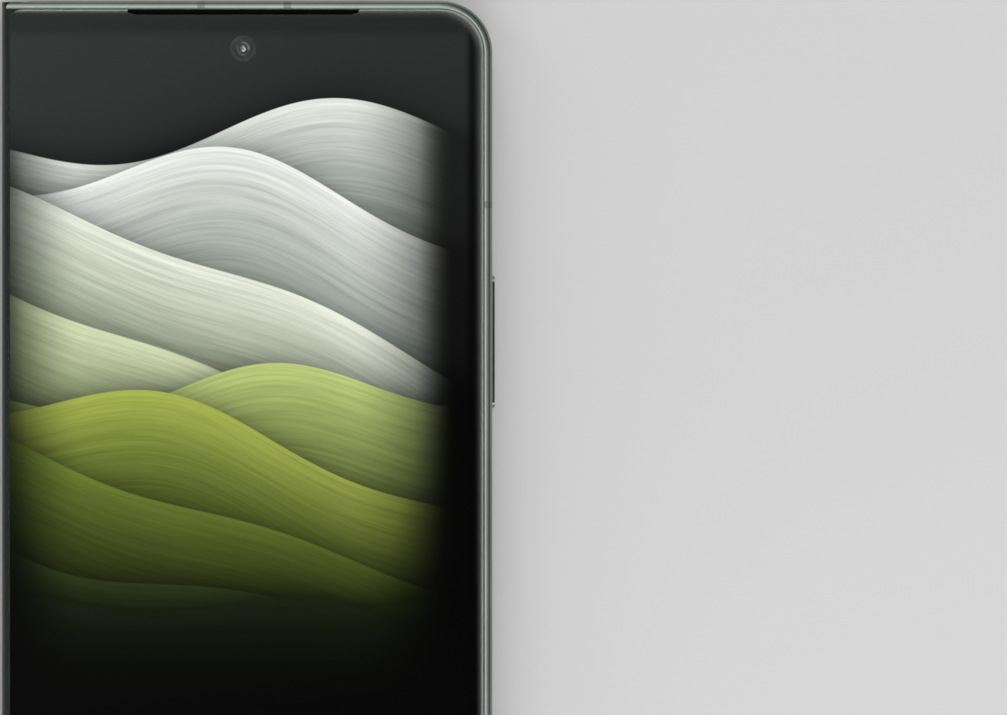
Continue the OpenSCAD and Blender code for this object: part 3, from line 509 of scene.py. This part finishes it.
finishes = {
    frameMetal: ["rear_frame", "front_frame"],
    keyMetal: ["volume_key", "power_key", "sim_tray"],
    shadedSpineMetal: ["spine_cover"],
    splitPlastic: ["rear_splits", "front_splits"],
    rearGlassMaterial(): ["rear_glass"],
    deckMetal: ["camera_deck"],
    ringMetal: ["lens_rings"],
    lensCoverGlass: ["lens_covers"],
    moduleBlack: ["camera_modules", "inner_camera", "cover_camera"],
    flashMaterial((8.75, 41.35)): ["flash_lens"],
    bezelPlastic: ["rear_bezel", "front_bezel"],
    coverGlass: ["cover_glass"],
    coverPanelMaterial(): ["cover_screen"],
    boardMaterial(): ["main_board", "charge_board", "upper_board"],
    foilMaterial(): ["rear_battery", "front_battery"],
    meshMaterial(): ["earpiece_mesh"],
    hingeBlack: ["end_caps", "rear_screen", "front_screen", "folding_screen"],
    darkSteel: ["hinge_brackets"],
    speakerPlastic: ["loudspeaker", "front_speaker", "earpiece"],
    giltMetal: ["charging_coil", "key_switches", "rear_gears", "front_gears", "rear_idlers", "front_idlers",
                "friction_washers"],
    stampedSteel: ["shield_cans", "board_screws", "front_screws", "haptic_motor", "charge_port",
                   "sim_socket", "rear_magnet", "front_magnet", "rear_shaft", "front_shaft",
                   "centre_plate", "rear_swing_plate", "front_swing_plate"],
}
for material, names in finishes.items():
    for name in names:
        if name in nodes:
            nodes[name].data.materials.clear()
            nodes[name].data.materials.append(material)
print("nodes dressed")


# Finishing a new piece: its mesh, its material and what it rides on
def pieceFrom(bm, name, material, body=None, smoothAngle=40):
    mesh = bpy.data.meshes.new(name)
    bm.to_mesh(mesh)
    bm.free()
    piece = bpy.data.objects.new(name, mesh)
    bpy.context.scene.collection.objects.link(piece)
    mesh.materials.append(material)
    mesh.shade_smooth()
    if smoothAngle:
        mesh.set_sharp_from_angle(angle=math.radians(smoothAngle))
    if body:
        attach(piece, body)
    return piece


# Turns a profile of [radius, height] in mm about an upright axis at centre, in mm
def spunShape(bm, profile, centre, steps=64):
    spots = [bm.verts.new(((centre[0] + r) * mm, centre[1] * mm, z * mm)) for r, z in profile]
    lines = [bm.edges.new(pair) for pair in zip(spots, spots[1:])]
    middle = Vector((centre[0] * mm, centre[1] * mm, 0))
    bmesh.ops.spin(bm, geom=spots + lines, cent=middle, axis=(0, 0, 1), dvec=(0, 0, 0),
                   angle=2 * math.pi, steps=steps, use_merge=True, use_duplicate=False)


def closedUp(bm):
    bmesh.ops.remove_doubles(bm, verts=bm.verts[:], dist=1e-7)
    bmesh.ops.recalc_face_normals(bm, faces=bm.faces[:])


# Inner screen: drawn flat, then folded as the hinge folds it
def turned(angle, point):
    c, s = math.cos(angle), math.sin(angle)
    return (c * point[0] - s * point[1], s * point[0] + c * point[1])


# Where the flat sheet's point with blend share t lies when shut, and how far out it is when flat
def foldSpot(t, depth):
    (sx, sz), (ex, ez) = phone["foldStart"], phone["foldEnd"]
    runX, runZ = ex - sx, ez - sz
    angle = math.pi / 2 * t * t * (3 - 2 * t)
    alongX, alongZ = turned(angle, (1, 0))
    offX, offZ = turned(angle, (-hingeAcross, -hingeBehind - depth))
    baseX, baseZ = hingeAcross + offX, hingeBehind + offZ
    reach = t * (runX ** 2 + runZ ** 2) + sx * runX + sz * runZ - baseX * runX - baseZ * runZ
    flat = reach / (alongX * runX + alongZ * runZ)
    return flat, (baseX + flat * alongX, baseZ + flat * alongZ)


# The same for any point of the flat sheet, by how far out and how deep it is
def shutPlace(flat, depth):
    if flat <= foldSpot(0, depth)[0]:
        return flat, -depth
    if flat >= foldSpot(1, depth)[0]:
        return hingeAcross + hingeBehind + depth, flat + hingeBehind - hingeAcross
    low, high = 0.0, 1.0
    for _ in range(40):
        middle = (low + high) / 2
        if foldSpot(middle, depth)[0] < flat:
            low = middle
        else:
            high = middle
    return foldSpot((low + high) / 2, depth)[1]


# The hole for the inner camera, by its place in the flat sheet
innerCamera = {"x": 33.65, "y": 69.65, "hole": 2.1, "sides": 32, "square": 1.4, "inset": 0.3}
sheet = {"cuts": 28, "cornerSteps": 10, "mergeWithin": 1e-7}


def cutAcross(bm, spot, normal):
    bmesh.ops.bisect_plane(bm, geom=bm.verts[:] + bm.edges[:] + bm.faces[:],
                           plane_co=(spot[0] * mm, spot[1] * mm, 0), plane_no=(*normal, 0),
                           dist=sheet["mergeWithin"])


# Cuts a square round the hole out of the flat sheet, insets it and rounds the inset's edge to a circle
def cutRoundHole(bm, x, y, radius, sides):
    half = radius * innerCamera["square"]
    for spot, normal in (((x - half, 0), (1, 0)), ((x + half, 0), (1, 0)),
                         ((0, y - half), (0, 1)), ((0, y + half), (0, 1))):
        cutAcross(bm, spot, normal)
    middle = Vector((x * mm, y * mm, 0))
    square = min(bm.faces, key=lambda face: (face.calc_center_median() - middle).length)
    bmesh.ops.subdivide_edges(bm, edges=square.edges[:], cuts=sides // 4 - 1)
    bmesh.ops.inset_individual(bm, faces=[square], thickness=innerCamera["inset"] * mm)
    for vert in square.verts:
        vert.co = middle + (vert.co - middle).normalized() * radius * mm
    bmesh.ops.delete(bm, geom=[square], context="FACES_ONLY")


# One half of the inner screen, from the centre line to its outer edge; side is 1 for the rear half
def innerSheet(name, side, material):
    outer = phone["halfWidth"] - phone["panelEdge"]
    high = topY - phone["panelEdge"]
    bm = bmesh.new()
    outline = (0, -high), (outer, -high), (outer, high), (0, high)
    corners = [bm.verts.new((x * mm, y * mm, 0)) for x, y in outline]
    bm.faces.new(corners)
    bmesh.ops.bevel(bm, geom=corners[1:3], offset=phone["panelCorner"] * mm, affect="VERTICES",
                    segments=sheet["cornerSteps"], profile=0.5, material=-1)
    if side > 0:
        cutRoundHole(bm, innerCamera["x"], innerCamera["y"], innerCamera["hole"], innerCamera["sides"])
    cuts = sheet["cuts"]
    stations = [foldSpot(i / cuts, 0)[0] for i in range(cuts + 1)]
    stations += [foldSpot(t, phone["panelThick"])[0] for t in (0, 1)]
    for station in stations:
        cutAcross(bm, (station, 0), (1, 0))
    top = bm.faces[:]
    walls = bmesh.ops.extrude_face_region(bm, geom=top)
    lower = [v for v in walls["geom"] if isinstance(v, bmesh.types.BMVert)]
    bmesh.ops.translate(bm, verts=lower, vec=(0, 0, -phone["panelThick"] * mm))
    closedUp(bm)
    uv = bm.loops.layers.uv.new("sheetPlace")
    for face in bm.faces:
        for loop in face.loops:
            loop[uv].uv = (side * loop.vert.co.x, loop.vert.co.y)
    for vert in bm.verts:
        across, out = shutPlace(vert.co.x / mm, -vert.co.z / mm)
        vert.co = Vector(((out + phone["spineX"]) * mm, vert.co.y, (phone["spineZ"] - side * across) * mm))
    if side > 0:
        bmesh.ops.reverse_faces(bm, faces=bm.faces[:])
    piece = pieceFrom(bm, name, material, smoothAngle=50)
    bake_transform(piece)
    return piece


innerScreen = innerScreenMaterial()
rearSheet = innerSheet("rearScreenSheet", 1, innerScreen)
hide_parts("rear_screen", "folding_screen")
frontSheet = innerSheet("frontScreenSheet", -1, innerScreen)
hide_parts("front_screen")
print("inner screen folded")

# Rear cameras: a stepped black barrel behind each lens cover, with a domed element at its foot.
# Profiles hold radius and height above the barrel's mouth.
rearLens = {
    "middle": (0.15, 49.95),
    "step": 8.6,
    "mouth": 0.75,
    "barrel": [(0.0, 2.2), (1.0, 2.2), (1.0, 1.9), (2.3, 1.75), (2.3, 1.45), (2.7, 1.4), (2.75, 1.0),
               (3.2, 0.95), (3.5, 0.45), (4.1, 0.4), (4.35, 0.0), (4.85, 0.0), (4.85, 2.3), (0.0, 2.3)],
    "dome": {"radius": 2.2, "top": 1.15, "sag": 1.1, "angles": range(15, 76, 15)},
    "domeFoot": [(2.25, 1.6), (0.0, 1.6)],
    "block": {"size": (12, 12, 2.7), "z": 4.45, "edge": 0.4},
}
lensCentres = [(rearLens["middle"][0] + i * rearLens["step"], rearLens["middle"][1] + j * rearLens["step"])
               for i, j in ((-1, 1), (1, 1), (-1, -1))]


# Points of a dome's outline, by the angle from its middle; sag is how far its edge lies behind that
def domeLine(radius, top, sag, angles, flat=0.0):
    turns = [math.radians(a) for a in angles]
    return [(flat + radius * math.sin(a), top + sag * (1 - math.cos(a))) for a in turns]


def rearBarrel(bm, centre, mouth):
    spunShape(bm, [(r, mouth + h) for r, h in rearLens["barrel"]], centre)
    block = rearLens["block"]
    verts = bmesh.ops.create_cube(bm, size=1.0)["verts"]
    bmesh.ops.scale(bm, verts=verts, vec=[s * mm for s in block["size"]])
    bmesh.ops.translate(bm, verts=verts, vec=(centre[0] * mm, centre[1] * mm, block["z"] * mm))
    edges = list({e for v in verts for e in v.link_edges})
    bmesh.ops.bevel(bm, geom=edges, offset=block["edge"] * mm, affect="EDGES", segments=2, profile=0.5,
                    material=-1)


def rearElement(bm, centre, mouth):
    dome = rearLens["dome"]
    profile = [(0.0, dome["top"]), *domeLine(**dome), *rearLens["domeFoot"]]
    spunShape(bm, [(r, mouth + h) for r, h in profile], centre)


barrels = bmesh.new()
elements = bmesh.new()
for centre in lensCentres:
    rearBarrel(barrels, centre, rearLens["mouth"])
    rearElement(elements, centre, rearLens["mouth"])
closedUp(barrels)
closedUp(elements)
rearBarrels = pieceFrom(barrels, "rearCameraBarrels", moduleBlack, "rear_half")
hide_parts("camera_modules")
pieceFrom(elements, "rearLensElements", lensCoating, "rear_half")
print("rear cameras built")

# Front-facing cameras: a dark ring round a small domed lens, and a brighter cap in its middle.
# Profiles hold radius and depth below the ring's top.
smallCameraShape = {
    "steps": 48,
    "barrel": [(0.0, 1.15), (0.4, 1.15), (0.45, 0.95), (1.12, 0.8), (1.14, 0.14), (1.3, 0.10), (1.36, 0.02)],
    "lip": (0.05, 0.04),
    "dome": {"flat": 0.56, "radius": 0.56, "top": 0.27, "sag": 0.14, "angles": range(0, 90, 20)},
    "domeFoot": [(1.12, 0.45), (0.0, 0.45)],
    "cap": {"radii": (0.0, 0.06, 0.12, 0.18, 0.24, 0.3, 0.36, 0.42, 0.46), "top": 0.12, "bulge": 0.85},
    "capFoot": [(0.46, 0.28), (0.0, 0.28)],
}


def smallCamera(name, centre, top, foot, outer, body, node, barrelFinish, lensFinish, pupilFinish):
    shape = smallCameraShape

    def spun(part, profile, finish):
        bm = bmesh.new()
        spunShape(bm, [(r, top - depth) for r, depth in profile], centre, shape["steps"])
        closedUp(bm)
        return pieceFrom(bm, name + part, finish, body)

    back, down = shape["lip"]
    depth = top - foot
    wall = [(outer - back, 0.0), (outer, down), (outer, depth), (0.0, depth)]
    barrel = spun("Barrel", shape["barrel"] + wall, barrelFinish)
    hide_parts(node)
    dome = shape["dome"]
    lens = [(0.0, dome["top"]), *domeLine(**dome), *shape["domeFoot"]]
    spun("Lens", lens, lensFinish)
    cap = shape["cap"]
    centreDepth = cap["top"] + cap["bulge"]
    rounded = [(r, centreDepth - math.sqrt(cap["bulge"] ** 2 - r ** 2)) for r in cap["radii"]]
    spun("Pupil", rounded + shape["capFoot"], pupilFinish)


smallCamera("coverCamera", (-0.675, 71.45), 12.6, 10.4, 1.98, "front_half", "cover_camera",
            cameraGrey, frontLensCoating, pupilCoating)
smallCamera("innerCamera", (innerCamera["x"] + halfX, innerCamera["y"]), rearZ - 0.12, 4.6, 2.05,
            "rear_half", "inner_camera", innerBlack, innerLensCoating, innerPupilCoating)
print("small cameras built")

# Charging port: gilt contacts on both faces of its tongue
port = {"x": 0.15, "z": 4.9, "first": -76.85, "pitch": 0.5, "count": 12, "size": (0.26, 4.4, 0.03),
        "tongue": 0.35}
contacts = bmesh.new()
for face in (-1, 1):
    for i in range(port["count"]):
        strip = bmesh.ops.create_cube(contacts, size=1.0)["verts"]
        bmesh.ops.scale(contacts, verts=strip, vec=[s * mm for s in port["size"]])
        x = port["x"] + (i - (port["count"] - 1) / 2) * port["pitch"]
        bmesh.ops.translate(contacts, verts=strip, vec=(
            x * mm, (port["first"] + port["size"][1] / 2) * mm,
            (port["z"] + face * (port["tongue"] + port["size"][2] / 2)) * mm))
pieceFrom(contacts, "portContacts", giltMetal, "rear_half", 0)
print("port contacts laid")

# Floor, backdrop and lights, all in metres
studio = {"floorTone": 0.86, "floorSize": 4.0}


def floorMaterial():
    material = newMaterial("studioFloor")
    tree = material.node_tree
    mottle = noise(tree, place(tree, (8, 8, 8)), 1.0, 2.0)
    tone = studio["floorTone"]
    colour = mixColour(tree, mottle, grey(tone - 0.01), grey(tone + 0.01))
    return shader(material, Base_Color=colour, Roughness=0.7, Specular_IOR_Level=0.2)


bm = bmesh.new()
bmesh.ops.create_grid(bm, x_segments=2, y_segments=2, size=studio["floorSize"] / 2)
floor = pieceFrom(bm, "floor", floorMaterial(), smoothAngle=0)

# The sky is dark overhead and carries a soft bright band low over the right and top sides
skyTones = {
    "lean": (1.0, 0.72),     # how much of a direction's X and Y counts
    "peak": 2.2,
    # Tone by direction, from the leaning direction's far left to its far right
    "stops": [(-1.0, 0.1), (-0.7, 0.16), (-0.5, 0.5), (-0.42, 1.3), (-0.3, 1.0), (-0.18, 0.12),
              (0.0, 0.035), (0.06, 0.05), (0.084, 0.09), (0.122, 0.27), (0.18, 0.8), (0.228, 1.2),
              (0.30, 1.9), (0.42, 2.2), (0.5, 1.5), (0.58, 1.0), (0.7, 0.7), (0.85, 0.4), (1.0, 0.25)],
    "seen": 0.72,            # what the camera itself sees behind the floor
}
world = bpy.data.worlds.new("studioSky")
bpy.context.scene.world = world
world.use_nodes = True
sky = world.node_tree
sky.nodes.clear()
direction = addNode(sky, "ShaderNodeTexCoord").outputs["Generated"]
heading = addNode(sky, "ShaderNodeSeparateXYZ", {"Vector": direction})
leaning = calc(sky, "ADD", calc(sky, "MULTIPLY", heading.outputs["X"], skyTones["lean"][0]),
               calc(sky, "MULTIPLY", heading.outputs["Y"], skyTones["lean"][1]))


def skyGrey(tone):
    return (tone / skyTones["peak"],) * 3 + (1,)


skyTone = ramp(sky, ranged(sky, leaning, -1, 1), [
    ((spot + 1) / 2, skyGrey(tone)) for spot, tone in skyTones["stops"]])
seen = addNode(sky, "ShaderNodeLightPath").outputs["Is Camera Ray"]
backTone = mixColour(sky, seen, skyTone, skyGrey(skyTones["seen"]))
background = addNode(sky, "ShaderNodeBackground", {"Color": backTone, "Strength": skyTones["peak"]})
sky.links.new(background.outputs[0], addNode(sky, "ShaderNodeOutputWorld").inputs["Surface"])

lamps = {
    "frontKey": {"at": (0.15, -0.80, 0.80), "size": (1.4, 0.8), "watts": 6.0},
    "sideStrip": {"at": (0.70, -0.25, 0.45), "size": (0.16, 0.6), "watts": 0.3},
    "leftFill": {"at": (-0.70, -0.35, 0.40), "size": (0.4, 0.4), "watts": 0.5},
}
for name, lamp in lamps.items():
    light = bpy.data.lights.new(name, "AREA")
    light.shape = "RECTANGLE"
    light.size, light.size_y = lamp["size"]
    light.energy = lamp["watts"]
    holder = bpy.data.objects.new(name, light)
    holder.location = lamp["at"]
    holder.rotation_euler = (-Vector(lamp["at"])).to_track_quat("-Z", "Y").to_euler()
    bpy.context.scene.collection.objects.link(holder)
print("studio lit")

# Camera: straight above, with a long lens, framed as the photograph is
view = {"lens": 400.0, "sensor": 36.0, "width": 148.37, "x": 37.68, "y": 25.92, "plane": 12.5}
cameraData = bpy.data.cameras.new("camera")
cameraData.lens = view["lens"]
cameraData.sensor_width = view["sensor"]
camera = bpy.data.objects.new("camera", cameraData)
away = view["width"] * view["lens"] / view["sensor"]
camera.location = (view["x"] * mm, view["y"] * mm, (away + view["plane"]) * mm)
bpy.context.scene.collection.objects.link(camera)
bpy.context.scene.camera = camera
bpy.context.scene.view_settings.view_transform = "Standard"
